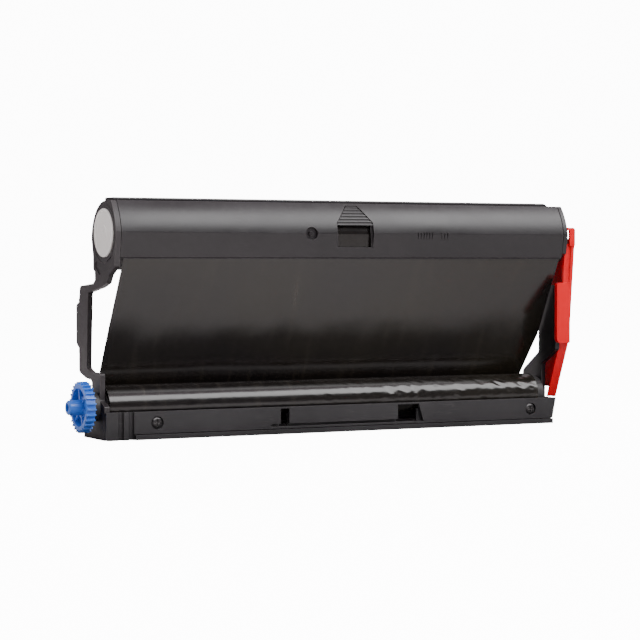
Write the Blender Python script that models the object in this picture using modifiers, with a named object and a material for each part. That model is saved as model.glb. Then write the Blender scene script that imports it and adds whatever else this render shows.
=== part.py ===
"""Thermal-transfer film cartridge for a plain-paper fax machine.

Two film spools hang between moulded side plates: the supply spool inside the
round housing at the top and the take-up spool in the open tray at the bottom.
Units are metres, +Z up, X along the spools.  The origin is on the base, beneath
the take-up spool's axis and midway between the side plates.
"""

import math

import bmesh
import bpy
from mathutils import Matrix, Vector

MM = 0.001
GAP = 0.3 * MM                     # clearance between parts that meet

# Spool axes, as (Y, Z)
SUPPLY_AXIS = (-9.4 * MM, 87.3 * MM)
TAKEUP_AXIS = (0.0, 13.8 * MM)

# Widths along X
PLATE_OUTER = 112.0 * MM
PLATE_THICKNESS = 2.3 * MM
PLATE_INNER = PLATE_OUTER - PLATE_THICKNESS
BODY_HALF = PLATE_INNER - GAP      # shells and tray between the plates
SUPPLY_ROLL_HALF = 108.0 * MM
CORE_HALF = 108.7 * MM
WEB_LEFT = -107.8 * MM
WEB_RIGHT = 108.9 * MM
TAKEUP_LEFT = -109.2 * MM          # the web runs on to the take-up roll a little askew
TAKEUP_RIGHT = 104.8 * MM
WEB_END_LEFT = -109.1 * MM
WEB_END_RIGHT = 104.6 * MM

# Spools
SUPPLY_ROLL_RADIUS = 10.6 * MM
TAKEUP_ROLL_RADIUS = 9.1 * MM
CORE_RADIUS = 6.35 * MM
CORE_BORE = 5.3 * MM
FILM_THICKNESS = 0.3 * MM
JOURNAL_RADIUS = 2.6 * MM          # take-up shaft where it runs in the side plates
JOURNAL_BORE = JOURNAL_RADIUS + GAP

# Round housing: two curves, one for the front shell and one for the rear
FRONT_CENTRE = (4.1 * MM, 83.6 * MM)
FRONT_RADIUS = 27.3 * MM
FRONT_WALL = 1.9 * MM
FRONT_TOP_ANGLE = 143.1
FRONT_FOOT_ANGLE = 172.2
REAR_CENTRE = (-11.5 * MM, 84.6 * MM)
REAR_RADIUS = 16.2 * MM
REAR_WALL = 1.4 * MM
FLAT_TOP = REAR_CENTRE[1] + REAR_RADIUS
SHELL_SEAM_Y = -13.3 * MM          # back edge of the front shell
LIP_FRONT_Y = -21.3 * MM           # lower lip of the front shell
LIP_BACK_Y = -20.3 * MM
LIP_Z = 76.5 * MM
RIDGE_TOP = 102.2 * MM
RIDGE_BACK = -4.0 * MM
RIDGE_BACK_ANGLE = 62.4

# Front bar, with the tray's lip beneath it
BAR_FRONT = -11.7 * MM
BAR_BACK = -9.9 * MM
LIP_FRONT = -12.6 * MM
LIP_LEFT = -99.0 * MM
LIP_RIGHT = 110.9 * MM
LIP_TOP = 2.2 * MM
BAR_GROOVES = (-105.4 * MM, -100.7 * MM)
NOTCH_LEFT = (-30.5 * MM, -26.3 * MM)     # notches either side of the bar's tongue
NOTCH_RIGHT = (28.2 * MM, 39.0 * MM)
SLIT_LEFT = -35.0 * MM              # the slit under the tongue runs past its left notch
NOTCH_LOW = 3.4 * MM
NOTCH_HIGH = 11.2 * MM
BAR_SCREWS = ((-88.8 * MM, 7.0 * MM), (99.0 * MM, 7.0 * MM))
SCREW_SHANK = 1.1 * MM
SCREW_HEAD = 2.5 * MM

# Drive gear
GEAR_TEETH = 28
GEAR_TIP = 11.0 * MM
GEAR_ROOT = 9.7 * MM
GEAR_OUTER_X = -120.0 * MM
GEAR_INNER_X = -116.0 * MM
GEAR_HUB_X = -125.0 * MM
GEAR_RIBS = 3                      # each spans the whole gear

# Cover catch: a ribbed, arrow-shaped thumb slide that follows the front shell's curve
CATCH_MIDDLE = 0.7 * MM
CATCH_WIDTH = 17.4 * MM
CATCH_TIP = 5.1 * MM
CATCH_BASE_Z = 91.2 * MM
CATCH_SHOULDER_Z = 92.3 * MM
CATCH_TIP_Z = 99.5 * MM
CATCH_SLOT_Z = 81.3 * MM
WINDOW_HALF = 8.2 * MM             # opening under the catch, into which it slides
WINDOW_TOP_Z = 90.9 * MM
CATCH_OUTER = FRONT_RADIUS - 0.1 * MM
CATCH_INNER = CATCH_OUTER - 1.0 * MM
CATCH_FLOOR = CATCH_INNER - GAP
CATCH_GROOVES = 5

# Shipping lock
LOCK_OUTER = 117.0 * MM
LOCK_INNER = 115.4 * MM
LOCK_RIM = PLATE_OUTER + GAP

COLOURS = {
    "black_plastic": ((0.020, 0.018, 0.019, 1.0), 0.38),
    "film": ((0.012, 0.010, 0.008, 1.0), 0.15),
    "core_plastic": ((0.045, 0.045, 0.047, 1.0), 0.5),
    "grey_plastic": ((0.60, 0.58, 0.56, 1.0), 0.45),
    "blue_plastic": ((0.05, 0.20, 0.65, 1.0), 0.35),
    "red_plastic": ((0.75, 0.02, 0.03, 1.0), 0.30),
    "steel": ((0.55, 0.55, 0.56, 1.0), 0.30),
}


# --- scene helpers ---------------------------------------------------------

def clear_scene():
    for old in list(bpy.data.objects):
        bpy.data.objects.remove(old, do_unlink=True)


def make_collection(name):
    found = bpy.data.collections.new(name)
    bpy.context.scene.collection.children.link(found)
    return found


def make_material(name):
    colour, roughness = COLOURS[name]
    material = bpy.data.materials.new(name)
    material.use_nodes = True
    shader = material.node_tree.nodes["Principled BSDF"]
    shader.inputs["Base Color"].default_value = colour
    shader.inputs["Roughness"].default_value = roughness
    shader.inputs["Metallic"].default_value = 1.0 if name == "steel" else 0.0
    material.diffuse_color = colour
    return material


clear_scene()
PARTS = make_collection("fax_film_cartridge")
CUTTERS = make_collection("cutters")
MATERIALS = {key: make_material(key) for key in COLOURS}


def add_part(name, mesh, material):
    part = bpy.data.objects.new(name, mesh)
    PARTS.objects.link(part)
    mesh.materials.clear()
    mesh.materials.append(MATERIALS[material])
    return part


def smooth(part, angle=35):
    part.data.shade_smooth()
    part.data.set_sharp_from_angle(angle=math.radians(angle))


def bevel(part, width, segments=1, angle=40):
    edge = part.modifiers.new("edges", "BEVEL")
    edge.width = width
    edge.segments = segments
    edge.limit_method = "ANGLE"
    edge.angle_limit = math.radians(angle)


def combine(part, other, operation):
    """Cut other from part, or join it on, with a live Boolean."""
    step = part.modifiers.new(operation.lower(), "BOOLEAN")
    step.operation = operation
    step.solver = "EXACT"
    step.object = other
    for holder in list(other.users_collection):
        holder.objects.unlink(other)
    CUTTERS.objects.link(other)
    other.hide_render = True
    other.display_type = "WIRE"


def cut(part, other):
    combine(part, other, "DIFFERENCE")


def join(part, other):
    combine(part, other, "UNION")


# --- shape helpers ---------------------------------------------------------

def arc(centre, radius, start, end, steps):
    """Points on an arc, angles in degrees."""
    points = []
    for index in range(steps + 1):
        angle = math.radians(start + (end - start) * index / steps)
        points.append((centre[0] + radius * math.cos(angle), centre[1] + radius * math.sin(angle)))
    return points


def rounded(corners, steps=3):
    """Outline through (u, v, radius) corners given in millimetres."""
    points = []
    count = len(corners)
    for index, (u, v, radius) in enumerate(corners):
        here = Vector((u, v)) * MM
        if radius == 0:
            points.append(tuple(here))
            continue
        before = Vector(corners[index - 1][:2]) * MM
        after = Vector(corners[(index + 1) % count][:2]) * MM
        back = (before - here).normalized()
        ahead = (after - here).normalized()
        half = back.angle(ahead) / 2
        reach = radius * MM / math.tan(half)
        centre = here + (back + ahead).normalized() * (radius * MM / math.sin(half))
        first = here + back * reach - centre
        last = here + ahead * reach - centre
        sweep = math.atan2(first.cross(last), first.dot(last))
        for step in range(steps + 1):
            turn = Matrix.Rotation(sweep * step / steps, 2)
            points.append(tuple(centre + turn @ first))
    return points


def rounded_run(corners):
    """The stretch of a rounded outline between two sharp end points, which it leaves out."""
    return rounded(corners)[1:-1]


def flat_solid(name, outlines, low, high, axis, material):
    """Flat outline given thickness along X or Y; inner outlines are holes."""
    curve = bpy.data.curves.new(name, "CURVE")
    curve.dimensions = "2D"
    curve.fill_mode = "BOTH"
    curve.extrude = (high - low) / 2
    for outline in outlines:
        spline = curve.splines.new("POLY")
        spline.points.add(len(outline) - 1)
        for point, (u, v) in zip(spline.points, outline):
            point.co = (u, v, 0, 1)
        spline.use_cyclic_u = True
    holder = bpy.data.objects.new(name + "_outline", curve)
    bpy.context.scene.collection.objects.link(holder)
    middle = (low + high) / 2
    if axis == "X":
        holder.rotation_euler = (math.radians(90), 0, math.radians(90))
        holder.location = (middle, 0, 0)
    else:
        holder.rotation_euler = (math.radians(90), 0, 0)
        holder.location = (0, middle, 0)
    bpy.context.view_layer.update()
    graph = bpy.context.evaluated_depsgraph_get()
    mesh = bpy.data.meshes.new_from_object(holder.evaluated_get(graph))
    shape = bmesh.new()
    shape.from_mesh(mesh)
    bmesh.ops.remove_doubles(shape, verts=shape.verts, dist=0.001 * MM)
    shape.to_mesh(mesh)
    shape.free()
    part = add_part(name, mesh, material)
    part.matrix_world = holder.matrix_world
    bpy.data.objects.remove(holder)
    return part


def circle(centre, radius, steps):
    return arc(centre, radius, 0, 360 * (steps - 1) / steps, steps - 1)


def box(name, low, high, material="black_plastic"):
    shape = bmesh.new()
    bmesh.ops.create_cube(shape, size=1)
    size = [high[i] - low[i] for i in range(3)]
    middle = [(high[i] + low[i]) / 2 for i in range(3)]
    bmesh.ops.scale(shape, vec=size, verts=shape.verts)
    bmesh.ops.translate(shape, vec=middle, verts=shape.verts)
    mesh = bpy.data.meshes.new(name)
    shape.to_mesh(mesh)
    shape.free()
    return add_part(name, mesh, material)


def rod(name, axis, place, low, high, radius, sides=32, material="black_plastic"):
    """Cylinder along X at (Y, Z), or along Y at (X, Z)."""
    shape = bmesh.new()
    bmesh.ops.create_cone(shape, cap_ends=True, segments=sides, radius1=radius,
                          radius2=radius, depth=high - low)
    mesh = bpy.data.meshes.new(name)
    shape.to_mesh(mesh)
    shape.free()
    part = add_part(name, mesh, material)
    middle = (low + high) / 2
    if axis == "X":
        part.rotation_euler = (0, math.radians(90), 0)
        part.location = (middle, place[0], place[1])
    else:
        part.rotation_euler = (math.radians(90), 0, 0)
        part.location = (place[0], middle, place[1])
    smooth(part)
    return part


def turned(name, profile, axis, steps, material):
    """Profile of (radius, x) points, in millimetres, turned about a spool axis.

    The profile runs along its outer side from the high X end to the low one.
    """
    closed = all(radius > 0 for radius, place in profile)
    mesh = bpy.data.meshes.new(name)
    points = [(radius * MM, 0, place * MM) for radius, place in profile]
    edges = [(index, index + 1) for index in range(len(points) - 1)]
    if closed:
        edges.append((len(points) - 1, 0))
    mesh.from_pydata(points, edges, [])
    part = add_part(name, mesh, material)
    part.rotation_euler = (0, math.radians(90), 0)
    part.location = (0, axis[0], axis[1])
    screw = part.modifiers.new("turn", "SCREW")
    screw.steps = steps
    screw.render_steps = steps
    screw.use_merge_vertices = True
    screw.merge_threshold = 0.001 * MM
    screw.use_smooth_shade = True
    return part


def tube(name, axis, low, high, outer, inner, steps, material):
    """Plain hollow cylinder along a spool axis."""
    ring = [(outer, high), (outer, low), (inner, low), (inner, high)]
    profile = [(radius / MM, place / MM) for radius, place in ring]
    return turned(name, profile, axis, steps, material)


# --- upper housing ---------------------------------------------------------

def front_shell_outline():
    top = rounded_run([(-13.3, 100.8, 0), (-17.15, 100.8, 0.8), (-17.7, 100.0, 0)])
    outer = arc(FRONT_CENTRE, FRONT_RADIUS, FRONT_TOP_ANGLE, FRONT_FOOT_ANGLE, 12)
    inner = arc(FRONT_CENTRE, FRONT_RADIUS - FRONT_WALL, FRONT_FOOT_ANGLE - 0.6, FRONT_TOP_ANGLE + 0.4, 10)
    seam = [(SHELL_SEAM_Y, FLAT_TOP - 1.8 * MM), (SHELL_SEAM_Y, FLAT_TOP)]
    return top + outer + [(LIP_FRONT_Y, LIP_Z), (LIP_BACK_Y, LIP_Z)] + inner + seam


def rear_shell_outline():
    """Ridge along the top, rounded back, floor under the spool and a hooked lip for the film."""
    seam = SHELL_SEAM_Y + GAP
    ridge = [(seam, RIDGE_TOP - 0.6 * MM), (seam + 0.6 * MM, RIDGE_TOP),
             (RIDGE_BACK - 0.6 * MM, RIDGE_TOP), (RIDGE_BACK, RIDGE_TOP - 0.6 * MM)]
    back = arc(REAR_CENTRE, REAR_RADIUS, RIDGE_BACK_ANGLE, 0, 9)
    floor = rounded_run([(4.7, 84.6, 0), (4.7, 71.7, 1.2), (-10.6, 71.7, 2.0), (-19.4, 75.7, 0.4),
                         (-19.4, 77.3, 0.3), (-18.2, 77.3, 0.3), (-18.2, 76.6, 0.3), (-10.3, 73.1, 1.0),
                         (3.3, 73.1, 0.8), (3.3, 84.6, 0)])
    inner = arc(REAR_CENTRE, REAR_RADIUS - REAR_WALL, 0, 90, 11)
    return ridge + back + floor + inner + [(seam, FLAT_TOP - REAR_WALL)]


def catch_arrow(name, base, grow):
    """Arrow facing front, from its base up to its tip; grow widens it for the slot."""
    half = CATCH_WIDTH / 2 + grow
    tip = CATCH_TIP / 2 + grow
    top = CATCH_TIP_Z + grow
    outline = [(-half, base), (half, base), (half, CATCH_SHOULDER_Z), (tip, top), (-tip, top),
               (-half, CATCH_SHOULDER_Z)]
    outline = [(CATCH_MIDDLE + across, height) for across, height in outline]
    return flat_solid(name, [outline], -30 * MM, -12 * MM, "Y", "black_plastic")


def front_housing():
    shell = flat_solid("front_housing", [front_shell_outline()], -BODY_HALF, BODY_HALF, "X",
                       "black_plastic")
    slot = catch_arrow("catch_slot_cutter", CATCH_SLOT_Z, GAP)
    combine(slot, rod("catch_floor", "X", FRONT_CENTRE, -20 * MM, 20 * MM, CATCH_FLOOR, 96), "DIFFERENCE")
    cut(shell, slot)
    cut(shell, box("catch_window", (CATCH_MIDDLE - WINDOW_HALF, -26 * MM, CATCH_SLOT_Z + GAP),
                   (CATCH_MIDDLE + WINDOW_HALF, -18 * MM, WINDOW_TOP_Z)))
    cut(shell, rod("dimple_cutter", "Y", (-21 * MM, 87.8 * MM), -24 * MM, -22.2 * MM, 2.6 * MM, 24))
    smooth(shell)
    return shell


def rear_housing():
    shell = flat_solid("rear_housing", [rear_shell_outline()], -BODY_HALF, BODY_HALF, "X",
                       "black_plastic")
    slope = flat_solid("ridge_end_cutter",
                       [[(104.9 * MM, 102.4 * MM), (107.5 * MM, FLAT_TOP), (111.0 * MM, FLAT_TOP),
                         (111.0 * MM, 104.0 * MM), (104.9 * MM, 104.0 * MM)]],
                       -16 * MM, 0, "Y", "black_plastic")
    cut(shell, slope)
    smooth(shell)
    return shell


def cover_catch():
    slide = catch_arrow("cover_catch", CATCH_BASE_Z, 0)
    band = tube("catch_band", FRONT_CENTRE, -20 * MM, 20 * MM, CATCH_OUTER, CATCH_INNER, 160, "black_plastic")
    combine(slide, band, "INTERSECT")
    for index in range(CATCH_GROOVES):
        angle = math.radians(18.8 + 3.3 * index)
        groove = box("rib_groove_%d" % index, (-12 * MM, -0.3 * MM, -0.45 * MM),
                     (12 * MM, 0.3 * MM, 0.45 * MM))
        groove.location = (0, FRONT_CENTRE[0] - CATCH_OUTER * math.cos(angle),
                           FRONT_CENTRE[1] + CATCH_OUTER * math.sin(angle))
        groove.rotation_euler = (-angle, 0, 0)
        cut(slide, groove)
    smooth(slide)
    return slide


# --- side plates -----------------------------------------------------------

def tube_end_top():
    """Plate outline over the top of the housing, from the back to the front."""
    back = arc(REAR_CENTRE, REAR_RADIUS, 0, 90, 12)
    top = rounded_run([(-11.5, 100.8, 0), (-17.15, 100.8, 0.8), (-17.7, 100.0, 0)])
    return back + top + arc(FRONT_CENTRE, FRONT_RADIUS, FRONT_TOP_ANGLE, FRONT_FOOT_ANGLE, 12)


def left_side_plate():
    """Plate with a bowed arm behind the film and an ear that carries the take-up spool."""
    lower = rounded_run([(-22.9, 87.3, 0), (-21.2, 73.2, 1.0), (-14.6, 69.4, 1.5), (-12.3, 66.2, 1.5),
                         (-5.5, 64.3, 1.5), (9.1, 62.0, 1.5), (11.0, 29.8, 2.0), (6.0, 28.2, 1.0),
                         (-4.5, 28.0, 0.8), (-4.5, 16.6, 1.0), (-9.6, 14.2, 0.8), (-9.6, 0, 0),
                         (14.0, 0, 0), (14.0, 12.0, 0), (4.8, 12.0, 0), (4.8, 24.8, 1.5), (12.0, 25.5, 2.0),
                         (19.8, 27.8, 2.0), (19.8, 36.2, 1.5), (26.2, 39.7, 2.5), (26.2, 56.4, 1.5),
                         (19.6, 59.5, 1.0), (18.7, 64.8, 2.0), (3.2, 66.0, 1.0), (1.0, 67.4, 0.8),
                         (1.2, 70.9, 0.8), (3.0, 72.2, 0.8), (3.0, 77.4, 2.0), (4.7, 84.6, 0)])
    outline = tube_end_top() + lower
    cap_hole = circle(SUPPLY_AXIS, 10.5 * MM, 40)
    hub_hole = circle(TAKEUP_AXIS, JOURNAL_BORE, 28)
    plate = flat_solid("left_side_plate", [outline, cap_hole, hub_hole], -PLATE_OUTER, -PLATE_INNER,
                       "X", "black_plastic")
    bevel(plate, 0.3 * MM, 1, 50)
    cut(plate, box("bulge_step", (-115 * MM, 20.0 * MM, 36 * MM), (-110.8 * MM, 30 * MM, 60 * MM)))
    smooth(plate)
    return plate


def right_side_plate():
    """Plate with a forward arm; a stub inside it carries the supply spool."""
    lower = rounded_run([(-22.9, 87.3, 0), (-21.5, 79.0, 1.0), (-13.6, 74.4, 1.5), (-8.7, 73.8, 1.0),
                         (-8.7, 64.4, 1.5), (-16.2, 64.4, 1.5), (-16.2, 34.5, 2.0), (-4.4, 27.5, 2.0),
                         (-4.4, 12.0, 0), (-9.6, 12.0, 0), (-9.6, 0, 0), (14.0, 0, 0), (14.0, 12.0, 0),
                         (11.7, 12.0, 0), (11.7, 24.0, 2.0), (8.9, 26.0, 2.0), (-1.7, 33.0, 2.0), (-1.7, 58.5, 4.0),
                         (1.4, 64.5, 2.0), (1.4, 69.7, 1.0), (4.7, 72.6, 1.0), (4.7, 84.6, 0)])
    outline = tube_end_top() + lower
    hub_hole = circle(TAKEUP_AXIS, JOURNAL_BORE, 28)
    plate = flat_solid("right_side_plate", [outline, hub_hole], PLATE_INNER, PLATE_OUTER, "X",
                       "black_plastic")
    bevel(plate, 0.3 * MM, 1, 50)
    join(plate, rod("supply_stub", "X", SUPPLY_AXIS, 103.5 * MM, 110.5 * MM, 3.3 * MM))
    smooth(plate)
    return plate


# --- tray ------------------------------------------------------------------

def lower_tray():
    channel = rounded([(-9.6, 0, 0), (14.0, 0, 0.6), (14.0, 11.9, 0.5), (12.2, 11.9, 0.5),
                       (12.2, 2.0, 1.5), (-8.3, 2.0, 1.0), (-8.3, 8.9, 0.3), (-9.6, 8.9, 0.3)])
    tray = flat_solid("lower_tray", [channel], -BODY_HALF, BODY_HALF, "X", "black_plastic")
    join(tray, box("tray_lip", (LIP_LEFT, LIP_FRONT, 0), (LIP_RIGHT, BAR_BACK, LIP_TOP)))
    join(tray, box("tray_lip_root", (LIP_LEFT, BAR_BACK - 0.5 * MM, 0), (BODY_HALF, -9.0 * MM, LIP_TOP)))
    for x, z in BAR_SCREWS:
        cut(tray, rod("tray_screw_hole", "Y", (x, z), -9.8 * MM, -8.0 * MM, SCREW_SHANK + GAP, 20))
    for left, right in (NOTCH_LEFT, NOTCH_RIGHT):
        cut(tray, box("wall_notch", (left, -9.8 * MM, NOTCH_LOW), (right, -8.0 * MM, NOTCH_HIGH)))
    smooth(tray)
    return tray


def front_bar():
    """Flat bar with a springy tongue in the middle and two upright grooves near its left end."""
    outline = rounded([(-112.0, 0, 0.8), (-99.3, 0, 0), (-99.3, 2.5, 0), (111.2, 2.5, 0.3),
                       (113.1, 11.9, 0.3), (-112.0, 11.9, 0.3)])
    bar = flat_solid("front_bar", [outline], BAR_FRONT, BAR_BACK, "Y", "black_plastic")
    low_y = BAR_FRONT - 1 * MM
    high_y = BAR_BACK + 1 * MM
    cut(bar, box("tongue_left_notch", (NOTCH_LEFT[0], low_y, NOTCH_LOW), (NOTCH_LEFT[1], high_y, NOTCH_HIGH)))
    right_notch = [(NOTCH_RIGHT[0], NOTCH_LOW), (NOTCH_RIGHT[1] + 2.5 * MM, NOTCH_LOW),
                   (NOTCH_RIGHT[1], NOTCH_HIGH), (NOTCH_RIGHT[0], NOTCH_HIGH)]
    cut(bar, flat_solid("tongue_right_notch", [right_notch], low_y, high_y, "Y", "black_plastic"))
    cut(bar, box("tongue_slit", (SLIT_LEFT, low_y, NOTCH_LOW),
                 (NOTCH_RIGHT[0] + 0.2 * MM, high_y, NOTCH_LOW + 1.2 * MM)))
    for x in BAR_GROOVES:
        groove = rod("end_groove", "X", (0, 0), -10 * MM, 10 * MM, 1.3 * MM, 24)
        groove.rotation_euler = (0, 0, 0)
        groove.location = (x, BAR_FRONT + 0.1 * MM, 6 * MM)
        cut(bar, groove)
    for x, z in BAR_SCREWS:
        cut(bar, rod("screw_seat", "Y", (x, z), low_y, BAR_FRONT + 1.1 * MM, SCREW_HEAD + GAP, 28))
        cut(bar, rod("screw_hole", "Y", (x, z), BAR_FRONT, high_y, SCREW_SHANK + GAP, 20))
    smooth(bar)
    return bar


def bar_screw(name, x, z):
    """Pan-head screw with a cross slot, pointing back."""
    head_front = BAR_FRONT + 0.05 * MM
    head_back = BAR_FRONT + 0.8 * MM
    screw = rod(name, "Y", (x, z), head_front, head_back, SCREW_HEAD, 28, "steel")
    join(screw, rod(name + "_shank", "Y", (x, z), head_back - 0.2 * MM, -8.5 * MM, SCREW_SHANK, 16))
    arm = 1.5 * MM
    blade = 0.3 * MM
    depth = head_front + 0.5 * MM
    cut(screw, box(name + "_slot_x", (x - arm, BAR_FRONT - MM, z - blade), (x + arm, depth, z + blade)))
    cut(screw, box(name + "_slot_z", (x - blade, BAR_FRONT - MM, z - arm), (x + blade, depth, z + arm)))
    return screw


# --- film ------------------------------------------------------------------

def takeup_tangent(start, radius):
    """Where a line from start touches the back of the take-up roll."""
    centre = Vector(TAKEUP_AXIS)
    away = Vector(start) - centre
    angle = math.atan2(away.y, away.x) - math.acos(radius / away.length)
    return centre + radius * Vector((math.cos(angle), math.sin(angle)))


def film_web():
    """Film between the spools, over the rear shell's lip and behind the take-up roll."""
    start = (-20.45 * MM, SUPPLY_AXIS[1])
    lip = (-19.85 * MM, 76.2 * MM)
    reach = TAKEUP_ROLL_RADIUS + GAP + FILM_THICKNESS / 2
    end = takeup_tangent(lip, reach)
    narrowing = Vector(lip).lerp(end, 0.62)
    rows = [(start, WEB_LEFT, WEB_RIGHT), (lip, WEB_LEFT, WEB_RIGHT), (narrowing, WEB_END_LEFT, WEB_RIGHT),
            (end, WEB_END_LEFT, WEB_END_RIGHT)]
    mesh = bpy.data.meshes.new("film_web")
    shape = bmesh.new()
    bmesh.ops.create_grid(shape, x_segments=1, y_segments=3, size=1)
    for vertex in shape.verts:
        place, left, right = rows[round((1 - vertex.co.y) * 1.5)]
        vertex.co = (left if vertex.co.x < 0 else right, place[0], place[1])
    shape.to_mesh(mesh)
    shape.free()
    web = add_part("film_web", mesh, "film")
    wall = web.modifiers.new("thickness", "SOLIDIFY")
    wall.thickness = FILM_THICKNESS
    wall.offset = 0
    return web


def supply_spool():
    tube("supply_core", SUPPLY_AXIS, -CORE_HALF, CORE_HALF, CORE_RADIUS, CORE_BORE, 40, "core_plastic")
    tube("supply_film_roll", SUPPLY_AXIS, -SUPPLY_ROLL_HALF, SUPPLY_ROLL_HALF, SUPPLY_ROLL_RADIUS,
         CORE_RADIUS + GAP, 48, "film")
    turned("supply_end_cap", [(0, -99.0), (4.6, -99.0), (5.0, -99.4), (5.0, -109.0), (10.2, -109.0),
                              (10.2, -112.3), (9.9, -112.6), (9.3, -112.6), (9.1, -112.2), (0, -112.2)],
           SUPPLY_AXIS, 48, "grey_plastic")
    turned("supply_right_plug", [(0, 97.6), (3.6, 97.6), (3.6, 109.4), (7.5, 109.4), (7.5, 109.0),
                                 (5.0, 109.0), (5.0, 96.4), (4.6, 96.0), (0, 96.0)],
           SUPPLY_AXIS, 36, "black_plastic")


def brake_spring():
    """Coil that pushes the supply spool against the left plate as a brake."""
    turns = 4
    per_turn = 12
    low = 98.1 * MM
    high = 102.9 * MM
    curve = bpy.data.curves.new("supply_brake_spring", "CURVE")
    curve.dimensions = "3D"
    curve.bevel_depth = 0.25 * MM
    curve.bevel_resolution = 1
    curve.use_fill_caps = True
    spline = curve.splines.new("POLY")
    count = turns * per_turn + 1
    spline.points.add(count - 1)
    for index, point in enumerate(spline.points):
        angle = 2 * math.pi * index / per_turn
        along = low + (high - low) * index / (count - 1)
        point.co = (along, 2.6 * MM * math.cos(angle), 2.6 * MM * math.sin(angle), 1)
    spring = bpy.data.objects.new("supply_brake_spring", curve)
    curve.materials.append(MATERIALS["steel"])
    PARTS.objects.link(spring)
    spring.location = (0, SUPPLY_AXIS[0], SUPPLY_AXIS[1])
    return spring


def takeup_spool():
    tube("takeup_core", TAKEUP_AXIS, TAKEUP_LEFT, TAKEUP_RIGHT, CORE_RADIUS, CORE_BORE, 40, "core_plastic")
    tube("takeup_film_roll", TAKEUP_AXIS, TAKEUP_LEFT, TAKEUP_RIGHT, TAKEUP_ROLL_RADIUS,
         CORE_RADIUS + GAP, 48, "film")
    bore = JOURNAL_BORE / MM
    journal = JOURNAL_RADIUS / MM
    turned("takeup_left_plug", [(4.6, -99.0), (5.0, -99.4), (5.0, -109.2), (bore, -109.2), (bore, -99.0)],
           TAKEUP_AXIS, 36, "black_plastic")
    turned("takeup_right_plug", [(0, 112.0), (journal, 112.0), (journal, 109.4), (7.5, 109.4),
                                 (7.5, 105.1), (5.0, 105.1), (5.0, 95.4), (4.6, 95.0), (0, 95.0)],
           TAKEUP_AXIS, 36, "black_plastic")
    turned("gear_spacer", [(6.2, -112.4), (6.2, -115.7), (bore, -115.7), (bore, -112.4)],
           TAKEUP_AXIS, 36, "black_plastic")


def gear_outline():
    points = []
    pitch = 360 / GEAR_TEETH
    for tooth in range(GEAR_TEETH):
        for fraction, radius in ((-0.34, GEAR_ROOT), (-0.16, GEAR_TIP), (0.16, GEAR_TIP), (0.34, GEAR_ROOT)):
            angle = math.radians((tooth + fraction) * pitch)
            points.append((TAKEUP_AXIS[0] + radius * math.cos(angle),
                           TAKEUP_AXIS[1] + radius * math.sin(angle)))
    return points


def drive_gear():
    """Toothed rim, thin web with six ribs, long hub and a shaft into the core's plug."""
    rim_inner = circle(TAKEUP_AXIS, 8.3 * MM, 36)
    gear = flat_solid("drive_gear", [gear_outline(), rim_inner], GEAR_OUTER_X, GEAR_INNER_X, "X",
                      "blue_plastic")
    web = rod("gear_web", "X", TAKEUP_AXIS, GEAR_INNER_X - 1.4 * MM, GEAR_INNER_X, 9.0 * MM, 36)
    join(gear, web)
    join(gear, rod("gear_hub", "X", TAKEUP_AXIS, GEAR_HUB_X, GEAR_INNER_X - 0.2 * MM, 3.4 * MM, 28))
    join(gear, rod("gear_shaft", "X", TAKEUP_AXIS, GEAR_INNER_X - 1 * MM, -101.0 * MM,
                   JOURNAL_RADIUS, 28))
    for index in range(GEAR_RIBS):
        rib = box("gear_rib_%d" % index, (-1.5 * MM, -8.8 * MM, -0.6 * MM), (1.5 * MM, 8.8 * MM, 0.6 * MM))
        rib.location = (GEAR_OUTER_X + 2.1 * MM, TAKEUP_AXIS[0], TAKEUP_AXIS[1])
        rib.rotation_euler = (math.radians(15 + 60 * index), 0, 0)
        join(gear, rib)
    socket = rod("gear_socket", "X", TAKEUP_AXIS, GEAR_HUB_X - 1 * MM, GEAR_HUB_X + 3 * MM, 1.6 * MM, 20)
    cut(gear, socket)
    smooth(gear)
    return gear


# --- shipping lock ---------------------------------------------------------

def shipping_lock():
    """Removable clip over the right end that keeps both spools still in transit."""
    plate = rounded([(-20.9, 84.0, 0.8), (-16.7, 39.0, 6.0), (-5.6, 11.9, 0), (-4.0, 11.9, 0),
                     (-5.8, 16.5, 1.0), (2.5, 16.5, 2.0), (2.5, 60.0, 6.0), (-10.0, 78.0, 8.0),
                     (-17.0, 83.2, 2.0)])
    lock = flat_solid("shipping_lock", [plate], LOCK_INNER, LOCK_OUTER, "X", "red_plastic")
    rim = rounded([(-19.9, 83.5, 0.2), (-16.5, 39.0, 5.8), (-5.5, 12.1, 0), (-4.8, 12.1, 0),
                   (-15.0, 38.4, 5.0), (-17.3, 62.0, 2.0), (-17.3, 72.0, 2.0), (-17.6, 83.5, 0.2)])
    join(lock, flat_solid("lock_rim", [rim], LOCK_RIM, LOCK_INNER + 0.5 * MM, "X", "red_plastic"))
    tab = rounded([(108.7, 37.5, 2.2), (116.0, 37.5, 0.3), (116.0, 65.5, 0.3), (108.7, 65.5, 1.2)])
    join(lock, flat_solid("lock_tab", [tab], -18.9 * MM, -16.8 * MM, "Y", "red_plastic"))
    join(lock, box("lock_strap", (114.0 * MM, -21.4 * MM, 82.6 * MM), (LOCK_OUTER, -20.2 * MM, 91.0 * MM)))
    join(lock, box("lock_hook", (112.4 * MM, -21.3 * MM, 89.8 * MM), (114.4 * MM, -20.3 * MM, 90.9 * MM)))
    smooth(lock)
    return lock


front_housing()
rear_housing()
cover_catch()
left_side_plate()
right_side_plate()
lower_tray()
front_bar()
bar_screw("bar_screw_left", *BAR_SCREWS[0])
bar_screw("bar_screw_right", *BAR_SCREWS[1])
film_web()
supply_spool()
brake_spring()
takeup_spool()
drive_gear()
shipping_lock()
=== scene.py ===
"""Looks of the fax film cartridge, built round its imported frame."""

import math

import bmesh
import bpy
from mathutils import Matrix, Vector, noise


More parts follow.
